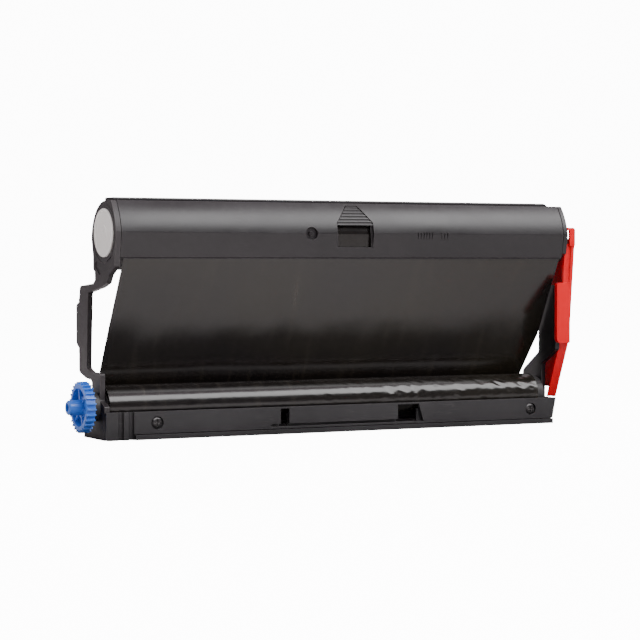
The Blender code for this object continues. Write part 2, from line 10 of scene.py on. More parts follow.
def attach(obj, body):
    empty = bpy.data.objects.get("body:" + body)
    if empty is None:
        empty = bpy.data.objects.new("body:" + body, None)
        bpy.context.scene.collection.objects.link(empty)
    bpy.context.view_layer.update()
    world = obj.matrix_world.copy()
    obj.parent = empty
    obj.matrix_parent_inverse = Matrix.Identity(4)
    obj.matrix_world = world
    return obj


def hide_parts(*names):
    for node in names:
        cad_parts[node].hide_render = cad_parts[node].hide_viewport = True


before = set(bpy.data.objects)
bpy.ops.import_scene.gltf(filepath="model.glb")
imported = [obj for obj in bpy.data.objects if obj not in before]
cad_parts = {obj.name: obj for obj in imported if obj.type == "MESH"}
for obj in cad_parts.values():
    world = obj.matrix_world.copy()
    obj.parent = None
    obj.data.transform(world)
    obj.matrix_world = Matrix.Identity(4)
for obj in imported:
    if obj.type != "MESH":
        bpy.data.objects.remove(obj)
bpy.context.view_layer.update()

MM = 0.001

# All sizes below are in millimetres. Spool axes and centres of curves are (Y, Z).
SUPPLY_AXIS = (-9.4, 87.3)
TAKEUP_AXIS = (0.0, 13.8)

# Round housing
FRONT_CENTRE = (4.1, 83.6)
FRONT_RADIUS = 27.3
FRONT_WALL = 1.9
FRONT_SWEEP = (143.1, 172.2)       # degrees about the centre, from the top to the foot
REAR_CENTRE = (-11.5, 84.6)
REAR_RADIUS = 16.2
REAR_WALL = 1.4
FLAT_TOP = 100.8
RIDGE_TOP = 102.2
SHELL_SEAM = -13.3                 # where the front shell ends against the ridge
SHELL_FOOT = 76.5
DIMPLE = (-21.0, 87.4)             # (X, Z)
BODY_HALF = 109.4

# Thumb catch and its window
CATCH_MIDDLE = 0.7
CATCH_HALF = 8.7
CATCH_OUTER = 27.2                 # radii about the front shell's centre
CATCH_INNER = 26.2
RECESS_FLOOR = 25.9
WINDOW_HALF = 8.2

# Side plates
PLATE_OUTER = 112.0
PLATE_INNER = 109.7
SHAFT_HOLE = 2.9

# Tray and bar
BAR_FRONT = -11.7
BAR_BACK = -9.9
BAR_TOP = 11.9
LIP_LEFT = -99.0
BAR_SCREWS = ((-88.8, 7.0), (99.0, 7.0))
SCREW_HOLE = 1.4
BAR_GROOVES = (-105.4, -100.7)
NOTCH_LEFT = (-30.5, -26.3)
NOTCH_RIGHT = (28.2, 39.0)
NOTCH_LOW = 3.4
NOTCH_HIGH = 11.2

# Film and take-up roll
FILM_LIP = (-19.85, 76.2)          # where the film bends over the rear shell's hooked lip
ROLL_RADIUS = 9.1
ROLL_ENDS = (-109.2, 104.8)
JOURNAL = 2.6                      # radius of the take-up shaft

GEAR_TEETH = 28
GEAR_ROOT = 9.7
LOCK_INNER = 115.4
LOCK_OUTER = 117.0


# --- camera, light and floor -------------------------------------------------

def add_camera():
    data = bpy.data.cameras.new("camera")
    data.lens = 118.7
    data.sensor_width = 36
    data.clip_end = 20
    camera = bpy.data.objects.new("camera", data)
    bpy.context.scene.collection.objects.link(camera)
    camera.location = (-0.4396, -0.8345, 0.0747)
    camera.rotation_euler = (math.radians(88.45), 0, math.radians(-27.5))
    bpy.context.scene.camera = camera


def add_softbox(name, place, target, width, height, power):
    data = bpy.data.lights.new(name, "AREA")
    data.shape = "RECTANGLE"
    data.size = width
    data.size_y = height
    data.energy = power
    lamp = bpy.data.objects.new(name, data)
    bpy.context.scene.collection.objects.link(lamp)
    lamp.location = place
    aim = Vector(target) - Vector(place)
    lamp.rotation_euler = aim.to_track_quat("-Z", "Y").to_euler()


def add_world():
    world = bpy.data.worlds.new("studio")
    world.use_nodes = True
    tree = world.node_tree
    light = tree.nodes["Background"]
    light.inputs["Color"].default_value = (1.0, 0.885, 0.945, 1)
    n = Nodes(tree)
    way = n.add("ShaderNodeSeparateXYZ", None, Vector=n.add("ShaderNodeTexCoord").outputs["Generated"])
    n.feed(light, "Strength", n.span(way.outputs["Z"], 0.1, 0.9, 0.62, 1.0))
    backdrop = tree.nodes.new("ShaderNodeBackground")
    backdrop.inputs["Color"].default_value = (1, 1, 1, 1)
    backdrop.inputs["Strength"].default_value = 14.0
    mix = tree.nodes.new("ShaderNodeMixShader")
    path = tree.nodes.new("ShaderNodeLightPath")
    tree.links.new(path.outputs["Is Camera Ray"], mix.inputs["Fac"])
    tree.links.new(light.outputs["Background"], mix.inputs[1])
    tree.links.new(backdrop.outputs["Background"], mix.inputs[2])
    tree.links.new(mix.outputs["Shader"], tree.nodes["World Output"].inputs["Surface"])
    bpy.context.scene.world = world


def add_floor():
    """Pale sweep: a wide round floor whose rim curves up all the way round."""
    shape = bmesh.new()
    profile = [(0.0, 0.0), (1.2, 0.0), (2.2, 0.0)]
    for step in range(1, 9):
        turn = math.radians(90 * step / 8)
        profile.append((2.2 + 0.9 * math.sin(turn), 0.9 - 0.9 * math.cos(turn)))
    profile.append((3.1, 2.2))
    points = [shape.verts.new((reach, 0, height)) for reach, height in profile]
    lines = [shape.edges.new(pair) for pair in zip(points, points[1:])]
    bmesh.ops.spin(shape, geom=points + lines, cent=(0, 0, 0), axis=(0, 0, 1), angle=math.tau,
                   steps=96, use_merge=True)
    bmesh.ops.remove_doubles(shape, verts=shape.verts, dist=0.0001)
    bmesh.ops.recalc_face_normals(shape, faces=shape.faces)
    bmesh.ops.reverse_faces(shape, faces=shape.faces)
    mesh = bpy.data.meshes.new("studio_floor")
    shape.to_mesh(mesh)
    shape.free()
    mesh.shade_smooth()
    floor = bpy.data.objects.new("studio_floor", mesh)
    bpy.context.scene.collection.objects.link(floor)
    material = bpy.data.materials.new("pale_floor")
    material.use_nodes = True
    tree = material.node_tree
    paint = tree.nodes["Principled BSDF"]
    paint.inputs["Roughness"].default_value = 0.6
    # Pale near the object and greyer towards the rim, with a soft dark patch where the object shades it.
    n = Nodes(tree)
    place = n.add("ShaderNodeTexCoord").outputs["Object"]
    split = n.add("ShaderNodeSeparateXYZ", None, Vector=place)
    reach = n.add("ShaderNodeVectorMath", {"operation": "LENGTH"}, Vector=place).outputs["Value"]
    far = n.span(reach, 0.5, 1.5)
    drift = n.math("MULTIPLY", n.math("SUBTRACT", n.noise(place, 22.0, 2.0, 0.5), 0.5), 0.014)
    depth = n.math("ADD", split.outputs["Y"], drift)
    shade_y = n.math("MULTIPLY", n.span(depth, -0.046, -0.033), n.span(depth, 0.03, 0.08, 1.0, 0.0))
    aside = n.math("ABSOLUTE", n.math("SUBTRACT", split.outputs["X"], 0.04))
    shade_x = n.span(aside, 0.15, 0.19, 1.0, 0.0)
    right = n.math("MULTIPLY", n.span(split.outputs["X"], 0.02, 0.18), 0.5)
    pale = n.blend(n.math("MAXIMUM", far, right), (0.86, 0.84, 0.82, 1), (0.27, 0.27, 0.27, 1))
    n.feed(paint, "Base Color", n.blend(n.math("MULTIPLY", shade_y, shade_x), pale, (0.02, 0.02, 0.02, 1)))
    white = n.add("ShaderNodeBsdfDiffuse", None, Color=(0.86, 0.86, 0.86, 1))
    glow = tree.nodes.new("ShaderNodeEmission")
    glow.inputs["Strength"].default_value = 12.0
    add = tree.nodes.new("ShaderNodeAddShader")
    lit = tree.nodes.new("ShaderNodeMixShader")
    path = tree.nodes.new("ShaderNodeLightPath")
    tree.links.new(white.outputs["BSDF"], add.inputs[0])
    tree.links.new(glow.outputs["Emission"], add.inputs[1])
    tree.links.new(path.outputs["Is Camera Ray"], lit.inputs["Fac"])
    tree.links.new(paint.outputs["BSDF"], lit.inputs[1])
    tree.links.new(add.outputs["Shader"], lit.inputs[2])
    tree.links.new(lit.outputs["Shader"], tree.nodes["Material Output"].inputs["Surface"])
    mesh.materials.append(material)


# --- node helpers ------------------------------------------------------------

class Nodes:
    """Short way to add and join nodes in one tree."""

    def __init__(self, tree):
        self.tree = tree

    def add(self, kind, settings=None, **inputs):
        node = self.tree.nodes.new(kind)
        for name, value in (settings or {}).items():
            setattr(node, name, value)
        for name, value in inputs.items():
            self.feed(node, name.replace("_", " "), value)
        return node

    def feed(self, node, name, value):
        socket = node.inputs[name]
        if isinstance(value, bpy.types.NodeSocket):
            self.tree.links.new(value, socket)
        else:
            socket.default_value = value

    def math(self, operation, first, second=0.0, clamp=False):
        node = self.tree.nodes.new("ShaderNodeMath")
        node.operation = operation
        node.use_clamp = clamp
        for index, value in enumerate((first, second)):
            if isinstance(value, bpy.types.NodeSocket):
                self.tree.links.new(value, node.inputs[index])
            else:
                node.inputs[index].default_value = value
        return node.outputs[0]

    def span(self, value, low, high, to_low=0.0, to_high=1.0):
        """Maps low..high to to_low..to_high, held at the ends."""
        node = self.add("ShaderNodeMapRange", {"interpolation_type": "SMOOTHSTEP"}, Value=value)
        for name, number in (("From Min", low), ("From Max", high), ("To Min", to_low), ("To Max", to_high)):
            if isinstance(number, bpy.types.NodeSocket):
                self.tree.links.new(number, node.inputs[name])
            else:
                node.inputs[name].default_value = number
        return node.outputs[0]

    def blend(self, amount, first, second):
        """Colour from first to second."""
        node = self.tree.nodes.new("ShaderNodeMix")
        node.data_type = "RGBA"
        for index, value in ((0, amount), (6, first), (7, second)):
            if isinstance(value, bpy.types.NodeSocket):
                self.tree.links.new(value, node.inputs[index])
            else:
                node.inputs[index].default_value = value
        return node.outputs[2]

    def noise(self, vector, scale, detail=3.0, roughness=0.5):
        node = self.add("ShaderNodeTexNoise", None, Vector=vector, Scale=scale, Detail=detail,
                        Roughness=roughness)
        return node.outputs["Fac"]

    def stretch(self, vector, factors, turn=(0, 0, 0)):
        node = self.add("ShaderNodeMapping", None, Vector=vector, Scale=factors, Rotation=turn)
        return node.outputs[0]


def new_group(name, inputs, outputs):
    """Shader node group with named number or vector sockets."""
    tree = bpy.data.node_groups.new(name, "ShaderNodeTree")
    for label, kind, value in inputs:
        socket = tree.interface.new_socket(name=label, in_out="INPUT", socket_type=kind)
        if value is not None:
            socket.default_value = value
    for label, kind in outputs:
        tree.interface.new_socket(name=label, in_out="OUTPUT", socket_type=kind)
    nodes = Nodes(tree)
    source = tree.nodes.new("NodeGroupInput")
    result = tree.nodes.new("NodeGroupOutput")
    return tree, nodes, source.outputs, result.inputs


def moulded_grain_group():
    """Fine spark-eroded texture of a moulding tool, with slow variation over the surface."""
    tree, n, given, result = new_group(
        "moulded_grain",
        [("Vector", "NodeSocketVector", None), ("Grain", "NodeSocketFloat", 2600.0)],
        [("Height", "NodeSocketFloat"), ("Mottle", "NodeSocketFloat")])
    fine = n.noise(given["Vector"], given["Grain"], 2.0, 0.6)
    pits = n.add("ShaderNodeTexVoronoi", {"feature": "SMOOTH_F1"}, Vector=given["Vector"],
                 Scale=given["Grain"]).outputs["Distance"]
    height = n.math("ADD", n.math("MULTIPLY", fine, 0.6), n.math("MULTIPLY", pits, 0.4))
    tree.links.new(height, result["Height"])
    slow = n.noise(given["Vector"], 38.0, 4.0, 0.55)
    tree.links.new(n.span(slow, 0.3, 0.7), result["Mottle"])
    return tree


def edge_wear_group():
    """Mask along outer edges, broken up by noise."""
    tree, n, given, result = new_group(
        "edge_wear",
        [("Vector", "NodeSocketVector", None), ("Width", "NodeSocketFloat", 0.0005),
         ("Amount", "NodeSocketFloat", 0.6)],
        [("Mask", "NodeSocketFloat")])
    round_normal = n.add("ShaderNodeBevel", {"samples": 4}, Radius=given["Width"]).outputs[0]
    flat_normal = n.add("ShaderNodeNewGeometry").outputs["Normal"]
    dot = n.tree.nodes.new("ShaderNodeVectorMath")
    dot.operation = "DOT_PRODUCT"
    tree.links.new(round_normal, dot.inputs[0])
    tree.links.new(flat_normal, dot.inputs[1])
    bend = n.math("SUBTRACT", 1.0, dot.outputs["Value"])
    rim = n.span(bend, 0.01, 0.22)
    patchy = n.span(n.noise(given["Vector"], 420.0, 4.0, 0.6), 0.35, 0.62, 0.35, 1.0)
    mask = n.math("MULTIPLY", n.math("MULTIPLY", rim, patchy), given["Amount"], clamp=True)
    tree.links.new(mask, result["Mask"])
    return tree


def scuffs_group():
    """Sparse fine scratches and rubbed patches left by handling."""
    tree, n, given, result = new_group(
        "handling_scuffs",
        [("Vector", "NodeSocketVector", None), ("Amount", "NodeSocketFloat", 0.5)],
        [("Lines", "NodeSocketFloat"), ("Rub", "NodeSocketFloat")])
    total = None
    for turn, scale in (((0.3, 0.5, 0.2), 160.0), ((1.1, -0.4, 0.9), 210.0)):
        streak = n.stretch(given["Vector"], (0.12, 2.4, 2.4), turn)
        band = n.noise(streak, scale, 2.0, 0.5)
        line = n.span(n.math("ABSOLUTE", n.math("SUBTRACT", band, 0.5)), 0.004, 0.012, 1.0, 0.0)
        total = line if total is None else n.math("MAXIMUM", total, line)
    where = n.span(n.noise(given["Vector"], 55.0, 2.0, 0.5), 0.52, 0.68)
    lines = n.math("MULTIPLY", n.math("MULTIPLY", total, where), given["Amount"], clamp=True)
    tree.links.new(lines, result["Lines"])
    rub = n.math("MULTIPLY", n.span(n.noise(given["Vector"], 90.0, 5.0, 0.65), 0.45, 0.75), given["Amount"])
    tree.links.new(rub, result["Rub"])
    return tree


def dust_group():
    """Light dust that settles on upward faces."""
    tree, n, given, result = new_group(
        "settled_dust",
        [("Vector", "NodeSocketVector", None), ("Amount", "NodeSocketFloat", 0.2)],
        [("Mask", "NodeSocketFloat")])
    normal = n.add("ShaderNodeNewGeometry").outputs["Normal"]
    split = n.add("ShaderNodeSeparateXYZ", None, Vector=normal)
    upward = n.span(split.outputs["Z"], 0.15, 0.95)
    clumps = n.span(n.noise(given["Vector"], 260.0, 5.0, 0.7), 0.35, 0.7)
    specks = n.span(n.noise(given["Vector"], 1500.0, 2.0, 0.5), 0.62, 0.7)
    cover = n.math("ADD", n.math("MULTIPLY", clumps, 0.5), n.math("MULTIPLY", specks, 0.6))
    mask = n.math("MULTIPLY", n.math("MULTIPLY", cover, upward), given["Amount"], clamp=True)
    tree.links.new(mask, result["Mask"])
    return tree


GRAIN = moulded_grain_group()
EDGE_WEAR = edge_wear_group()
SCUFFS = scuffs_group()
DUST = dust_group()


def start_material(name):
    material = bpy.data.materials.new(name)
    material.use_nodes = True
    tree = material.node_tree
    nodes = Nodes(tree)
    shader = tree.nodes["Principled BSDF"]
    place = nodes.add("ShaderNodeTexCoord").outputs["Object"]
    return material, nodes, shader, place


def use_group(nodes, tree, **inputs):
    node = nodes.add("ShaderNodeGroup", {"node_tree": tree})
    for name, value in inputs.items():
        nodes.feed(node, name, value)
    return node.outputs


def moulded_plastic(name, dark, light, edge, rough, grain=2600.0, grain_depth=0.25, wear=0.5, dust=0.12,
                    scuffs=0.5, coat=0.0, ior=1.5):
    """Moulded plastic: fine grain, slow mottling, lighter rubbed edges, fine scratches, a little dust."""
    material, n, shader, place = start_material(name)
    texture = use_group(n, GRAIN, Vector=place, Grain=grain)
    worn = use_group(n, EDGE_WEAR, Vector=place, Width=0.0005, Amount=wear)
    marks = use_group(n, SCUFFS, Vector=place, Amount=scuffs)
    dusty = use_group(n, DUST, Vector=place, Amount=dust)
    colour = n.blend(texture["Mottle"], (*dark, 1), (*light, 1))
    colour = n.blend(worn["Mask"], colour, (*edge, 1))
    colour = n.blend(n.math("MULTIPLY", marks["Lines"], 0.35), colour, (*edge, 1))
    colour = n.blend(dusty["Mask"], colour, (0.42, 0.40, 0.38, 1))
    n.feed(shader, "Base Color", colour)
    gloss = n.span(texture["Mottle"], 0.0, 1.0, rough - 0.035, rough + 0.035)
    gloss = n.math("ADD", gloss, n.math("MULTIPLY", marks["Rub"], 0.08))
    gloss = n.math("ADD", gloss, n.math("MULTIPLY", dusty["Mask"], 0.5), clamp=True)
    n.feed(shader, "Roughness", gloss)
    height = n.math("SUBTRACT", texture["Height"], n.math("MULTIPLY", marks["Lines"], 0.8))
    bump = n.add("ShaderNodeBump", None, Height=height, Strength=grain_depth, Distance=0.00006)
    n.feed(shader, "Normal", bump.outputs["Normal"])
    shader.inputs["IOR"].default_value = ior
    shader.inputs["Coat Weight"].default_value = coat
    shader.inputs["Coat Roughness"].default_value = 0.12
    return material


def transfer_film(name, tint, gloss, streak_turn, wave_depth, dull_end):
    """Glossy ink-coated film, duller towards its right end: long soft streaks and faint waves."""
    material, n, shader, place = start_material(name)
    along = n.stretch(place, (1.0, 0.10, 0.10), streak_turn)
    streaks = n.noise(along, 240.0, 4.0, 0.6)
    clouds = n.noise(place, 11.0, 3.0, 0.5)
    marks = use_group(n, SCUFFS, Vector=place, Amount=0.1)
    dusty = use_group(n, DUST, Vector=place, Amount=0.05)
    thin = (tint[0] * 1.9, tint[1] * 1.9, tint[2] * 1.15)
    colour = n.blend(n.span(clouds, 0.3, 0.7), (*tint, 1), (*thin, 1))
    colour = n.blend(n.math("MULTIPLY", n.span(streaks, 0.55, 0.8), 0.4), colour, (0.05, 0.042, 0.032, 1))
    colour = n.blend(dusty["Mask"], colour, (0.35, 0.33, 0.30, 1))
    n.feed(shader, "Base Color", colour)
    rough = n.span(streaks, 0.3, 0.75, gloss, gloss + 0.05)
    rough = n.math("ADD", rough, n.math("MULTIPLY", marks["Rub"], 0.10))
    along_spool = n.add("ShaderNodeSeparateXYZ", None, Vector=place).outputs["X"]
    rough = n.math("ADD", rough, n.span(along_spool, *dull_end))
    n.feed(shader, "Roughness", rough)
    waves = n.noise(n.stretch(place, (0.6, 1.0, 1.0), streak_turn), 34.0, 2.0, 0.4)
    ripple = n.noise(n.stretch(place, (1.0, 0.22, 0.22), streak_turn), 310.0, 3.0, 0.5)
    height = n.math("ADD", waves, n.math("MULTIPLY", ripple, 0.02))
    bump = n.add("ShaderNodeBump", None, Height=height, Strength=1.0, Distance=wave_depth)
    n.feed(shader, "Normal", bump.outputs["Normal"])
    shader.inputs["IOR"].default_value = 1.56
    return material


def screw_steel(name):
    """Blackened screw steel with turned rings and bright rubbed edges."""
    material, n, shader, place = start_material(name)
    worn = use_group(n, EDGE_WEAR, Vector=place, Width=0.0002, Amount=0.8)
    clouds = n.span(n.noise(place, 900.0, 4.0, 0.6), 0.3, 0.7)
    colour = n.blend(clouds, (0.055, 0.053, 0.055, 1), (0.09, 0.087, 0.088, 1))
    n.feed(shader, "Base Color", n.blend(worn["Mask"], colour, (0.55, 0.54, 0.52, 1)))
    n.feed(shader, "Roughness", n.span(clouds, 0.0, 1.0, 0.26, 0.42))
    bump = n.add("ShaderNodeBump", None, Height=n.noise(place, 4200.0, 2.0), Strength=0.3, Distance=0.00004)
    n.feed(shader, "Normal", bump.outputs["Normal"])
    shader.inputs["Metallic"].default_value = 1.0
    return material


HOUSING = moulded_plastic("housing_plastic", (0.011, 0.0095, 0.0110), (0.016, 0.0142, 0.0158),
                          (0.080, 0.073, 0.076), 0.33, dust=0.05, scuffs=0.15)
# Side-plate plastic, used on the left plate only; the right plate takes the darker housing plastic as painted
# shade.
PLATE = moulded_plastic("side_plate_plastic", (0.022, 0.019, 0.0208), (0.030, 0.0262, 0.0282),
                        (0.12, 0.11, 0.113), 0.40, wear=0.6)
TRAY = moulded_plastic("tray_plastic", (0.021, 0.0200, 0.0218), (0.029, 0.0275, 0.0296), (0.10, 0.095, 0.097),
                       0.42, grain_depth=0.35)
SPOOL_CORE = moulded_plastic("spool_core_plastic", (0.028, 0.027, 0.028), (0.040, 0.039, 0.040),
                             (0.10, 0.10, 0.10), 0.5, grain_depth=0.4)
CAP = moulded_plastic("end_cap_plastic", (0.82, 0.815, 0.78), (0.88, 0.875, 0.84), (0.90, 0.89, 0.87),
                      0.40, dust=0.04, scuffs=0.35)
GEAR_BLUE = moulded_plastic("gear_plastic", (0.030, 0.155, 0.64), (0.044, 0.195, 0.72), (0.20, 0.40, 0.88),
                            0.32, grain_depth=0.15, wear=0.55, dust=0.03, scuffs=0.25, coat=0.2)
LOCK_RED = moulded_plastic("lock_plastic", (0.70, 0.0008, 0.007), (0.78, 0.0014, 0.010), (0.93, 0.06, 0.07),
                           0.33, grain_depth=0.10, wear=0.4, dust=0.0, scuffs=0.15, ior=1.38)
WEB_FILM = transfer_film("film_web_surface", (0.0075, 0.0062, 0.0064), 0.13, (0, 0, 0), 0.0004,
                         (0.06, 0.11, 0.0, 0.06))
ROLL_FILM = transfer_film("wound_film_surface", (0.0062, 0.0052, 0.0056), 0.16, (0.0, 0.45, 0.35), 0.0003,
                          (0.0, 0.1, 0.0, 0.03))
SCREW_STEEL = screw_steel("screw_steel")


# --- shape helpers, in millimetres -------------------------------------------

def arc(centre, radius, start, end, steps):
    points = []
    for index in range(steps + 1):
        angle = math.radians(start + (end - start) * index / steps)
        points.append((centre[0] + radius * math.cos(angle), centre[1] + radius * math.sin(angle)))
    return points


def rounded(corners, steps=6):
    """Outline through (u, v, radius) corners."""
    points = []
    for index, (u, v, radius) in enumerate(corners):
        here = Vector((u, v))
        if radius == 0:
            points.append((u, v))
            continue
        back = (Vector(corners[index - 1][:2]) - here).normalized()
        ahead = (Vector(corners[(index + 1) % len(corners)][:2]) - here).normalized()
        half = back.angle(ahead) / 2
        reach = radius / math.tan(half)
        centre = here + (back + ahead).normalized() * (radius / math.sin(half))
        first = here + back * reach - centre
        last = here + ahead * reach - centre
        sweep = math.atan2(first.cross(last), first.dot(last))
        for step in range(steps + 1):
            points.append(tuple(centre + Matrix.Rotation(sweep * step / steps, 2) @ first))
    return points


def rounded_run(corners):
    """The stretch of a rounded outline between two sharp end points, which it leaves out."""
    return rounded(corners)[1:-1]


def to_object(name, shape):
    """Object at the origin; its mesh stays in millimetres until the piece is finished."""
    mesh = bpy.data.meshes.new(name)
    shape.to_mesh(mesh)
    shape.free()
    piece = bpy.data.objects.new(name, mesh)
    bpy.context.scene.collection.objects.link(piece)
    return piece


def slab(name, outline, low, high, axis="X"):
    """Outline of (Y, Z) or (X, Z) points, given thickness along X or Y."""
    shape = bmesh.new()
    if axis == "X":
        rim = [shape.verts.new((low, u, v)) for u, v in outline]
        reach = (high - low, 0, 0)
    else:
        rim = [shape.verts.new((u, low, v)) for u, v in outline]
        reach = (0, high - low, 0)
    grown = bmesh.ops.extrude_face_region(shape, geom=[shape.faces.new(rim)])["geom"]
    moved = [item for item in grown if isinstance(item, bmesh.types.BMVert)]
    bmesh.ops.translate(shape, vec=reach, verts=moved)
    # The face that was extruded stays behind as the other end.
    bmesh.ops.recalc_face_normals(shape, faces=shape.faces)
    return to_object(name, shape)


def block(name, low, high):
    shape = bmesh.new()
    bmesh.ops.create_cube(shape, size=1)
    bmesh.ops.scale(shape, vec=[high[i] - low[i] for i in range(3)], verts=shape.verts)
    bmesh.ops.translate(shape, vec=[(high[i] + low[i]) / 2 for i in range(3)], verts=shape.verts)
    return to_object(name, shape)


def peg(name, axis, place, low, high, radius, sides=48, far_radius=None):
    """Round peg along X at (Y, Z), or along Y at (X, Z); far_radius is the radius at its high end."""
    shape = bmesh.new()
    turn = Matrix.Rotation(math.radians(90), 4, "Y")
    shift = ((low + high) / 2, place[0], place[1])
    if axis == "Y":
        turn = Matrix.Rotation(math.radians(-90), 4, "X")
        shift = (place[0], (low + high) / 2, place[1])
    bmesh.ops.create_cone(shape, cap_ends=True, segments=sides, radius1=radius,
                          radius2=radius if far_radius is None else far_radius, depth=high - low,
                          matrix=Matrix.Translation(shift) @ turn)
    return to_object(name, shape)


def turned(name, profile, axis, steps=72):
    """Profile of (radius, x) points turned about a spool axis at (Y, Z)."""
    shape = bmesh.new()
    points = [shape.verts.new((place, axis[0] + radius, axis[1])) for radius, place in profile]
    pairs = list(zip(points, points[1:]))
    if all(radius > 0 for radius, place in profile):
        pairs.append((points[-1], points[0]))
    lines = [shape.edges.new(pair) for pair in pairs]
    bmesh.ops.spin(shape, geom=points + lines, cent=(0, axis[0], axis[1]), axis=(1, 0, 0),
                   angle=math.tau, steps=steps, use_merge=True)
    bmesh.ops.remove_doubles(shape, verts=shape.verts, dist=0.001)
    bmesh.ops.recalc_face_normals(shape, faces=shape.faces)
    return to_object(name, shape)


def bake(piece):
    """Keeps the result of the piece's modifiers as its mesh."""
    bpy.context.view_layer.update()
    graph = bpy.context.evaluated_depsgraph_get()
    mesh = bpy.data.meshes.new_from_object(piece.evaluated_get(graph))
    piece.modifiers.clear()
    piece.data = mesh


def combine(piece, others, operation):
    """Cuts others from the piece, or joins them on, one after another."""
    for other in others:
        step = piece.modifiers.new("step", "BOOLEAN")
        step.operation = operation
        step.solver = "EXACT"
        step.object = other
    bake(piece)
    for other in others:
        bpy.data.objects.remove(other, do_unlink=True)


def cut(piece, *others):
    combine(piece, others, "DIFFERENCE")


def join(piece, *others):
    combine(piece, others, "UNION")


def soften(piece, width, segments=2, angle=35):
    """Rounds the piece's edges and settles its shading."""
    shape = bmesh.new()
    shape.from_mesh(piece.data)
    bmesh.ops.remove_doubles(shape, verts=shape.verts, dist=0.002)
    bmesh.ops.dissolve_limit(shape, angle_limit=math.radians(0.4), verts=shape.verts, edges=shape.edges)
    shape.to_mesh(piece.data)
    shape.free()
    edge = piece.modifiers.new("edges", "BEVEL")
    edge.width = width
    edge.segments = segments
    edge.limit_method = "ANGLE"
    edge.angle_limit = math.radians(angle)
    edge.use_clamp_overlap = True
    bake(piece)
    shade(piece)


def shade(piece, angle=50):
    piece.data.shade_smooth()
    piece.data.set_sharp_from_angle(angle=math.radians(angle))
    weigh = piece.modifiers.new("shading", "WEIGHTED_NORMAL")
    weigh.keep_sharp = True
    bake(piece)


def finish_piece(piece, material, body, slot, *nodes):
    piece.data.transform(Matrix.Scale(MM, 4))
    piece.data.materials.clear()
    piece.data.materials.append(material)
    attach(piece, body)
    if nodes:
        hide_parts(*nodes)


# --- upper housing -------------------------------------------------------------

def front_shell():
    """Curved front shell with the catch's recess and window, tick marks and a moulded dimple."""
    top = rounded_run([(SHELL_SEAM, FLAT_TOP, 0), (-17.15, FLAT_TOP, 0.8), (-17.7, 100.0, 0)])
    outer = arc(FRONT_CENTRE, FRONT_RADIUS, *FRONT_SWEEP, 28)
    inner = arc(FRONT_CENTRE, FRONT_RADIUS - FRONT_WALL, 171.6, 143.5, 20)
    step = SHELL_FOOT + 0.7
    lip = [(-21.3, step), (-20.75, step), (-20.75, SHELL_FOOT), (-20.3, SHELL_FOOT)]
    seam = [(SHELL_SEAM, FLAT_TOP - 1.8), (SHELL_SEAM, FLAT_TOP)]
    shell = slab("front_shell", top + outer + lip + inner + seam, -BODY_HALF, BODY_HALF)
    recess = slab("recess", arrow_outline(81.3, 0.3), -30, -12, "Y")
    cut(recess, peg("recess_floor", "X", FRONT_CENTRE, -20, 20, RECESS_FLOOR, 160))
    window = block("window", (CATCH_MIDDLE - WINDOW_HALF, -26, 81.6), (CATCH_MIDDLE + WINDOW_HALF, -18, 90.9))
    dimple = peg("dimple", "Y", DIMPLE, -24, -21.5, 3.3, 40, 2.6)
    cut(shell, recess, window, dimple)
    join(shell, peg("boss", "Y", DIMPLE, -22.4, -21.2, 1.0, 24, 1.3))
    ticks = [31.9 + 1.45 * index for index in range(6)] + [44.0 + 1.5 * index for index in range(3)]
    cut(shell, *[block("tick", (x, -24, 85.1), (x + 0.55, -22.45, 88.2)) for x in ticks])
    soften(shell, 0.35, 2)
    finish_piece(shell, HOUSING, "frame", "black_plastic", "front_housing")


def arrow_outline(base, grow):
    half = CATCH_HALF + grow
    tip = 2.55 + grow
    top = 99.5 + grow
    points = [(-half, base), (half, base), (half, 92.3), (tip, top), (-tip, top), (-half, 92.3)]
    return [(CATCH_MIDDLE + across, height) for across, height in points]


def rear_shell():
    """Ridge along the top, rounded back, floor under the spool and the hooked lip the film runs over."""
    ridge = [(-13.0, RIDGE_TOP - 0.4), (-12.6, RIDGE_TOP), (-4.4, RIDGE_TOP), (-4.0, RIDGE_TOP - 0.4)]
    back = arc(REAR_CENTRE, REAR_RADIUS, 62.4, 0, 22)
    floor = rounded_run([(4.7, 84.6, 0), (4.7, 71.7, 1.2), (-10.6, 71.7, 2.0), (-19.4, 75.7, 0.4),
                         (-19.4, 77.3, 0.3), (-18.2, 77.3, 0.3), (-18.2, 76.6, 0.3), (-10.3, 73.1, 1.0),
                         (3.3, 73.1, 0.8), (3.3, 84.6, 0)])
    inner = arc(REAR_CENTRE, REAR_RADIUS - REAR_WALL, 0, 90, 16)
    outline = ridge + back + floor + inner + [(-13.0, FLAT_TOP - REAR_WALL)]
    shell = slab("rear_shell", outline, -BODY_HALF, BODY_HALF)
    ridge_end = [(104.9, 102.4), (107.5, FLAT_TOP), (111.0, FLAT_TOP), (111.0, 104.0), (104.9, 104.0)]
    slope = slab("slope", ridge_end, -16, 0, "Y")
    cut(shell, slope)
    soften(shell, 0.3, 2)
    finish_piece(shell, HOUSING, "frame", "black_plastic", "rear_housing")


def thumb_catch():
    """Arrow-shaped slide with ribs across it, following the front shell's curve."""
    slide = slab("thumb_catch", arrow_outline(91.2, 0), -30, -12, "Y")
    curve = [(CATCH_OUTER, -20), (CATCH_OUTER, 20), (CATCH_INNER, 20), (CATCH_INNER, -20)]
    band = turned("band", curve, FRONT_CENTRE, 240)
    combine(slide, [band], "INTERSECT")
    grooves = []
    reach = CATCH_OUTER + 0.12
    for index in range(6):
        angle = math.radians(18.4 + 3.0 * index)
        place = (FRONT_CENTRE[0] - reach * math.cos(angle), FRONT_CENTRE[1] + reach * math.sin(angle))
        grooves.append(peg("groove", "X", place, -12, 12, 0.5, 16))
    cut(slide, *grooves)
    soften(slide, 0.12, 2)
    finish_piece(slide, HOUSING, "catch", "black_plastic", "cover_catch")


# --- side plates ----------------------------------------------------------------

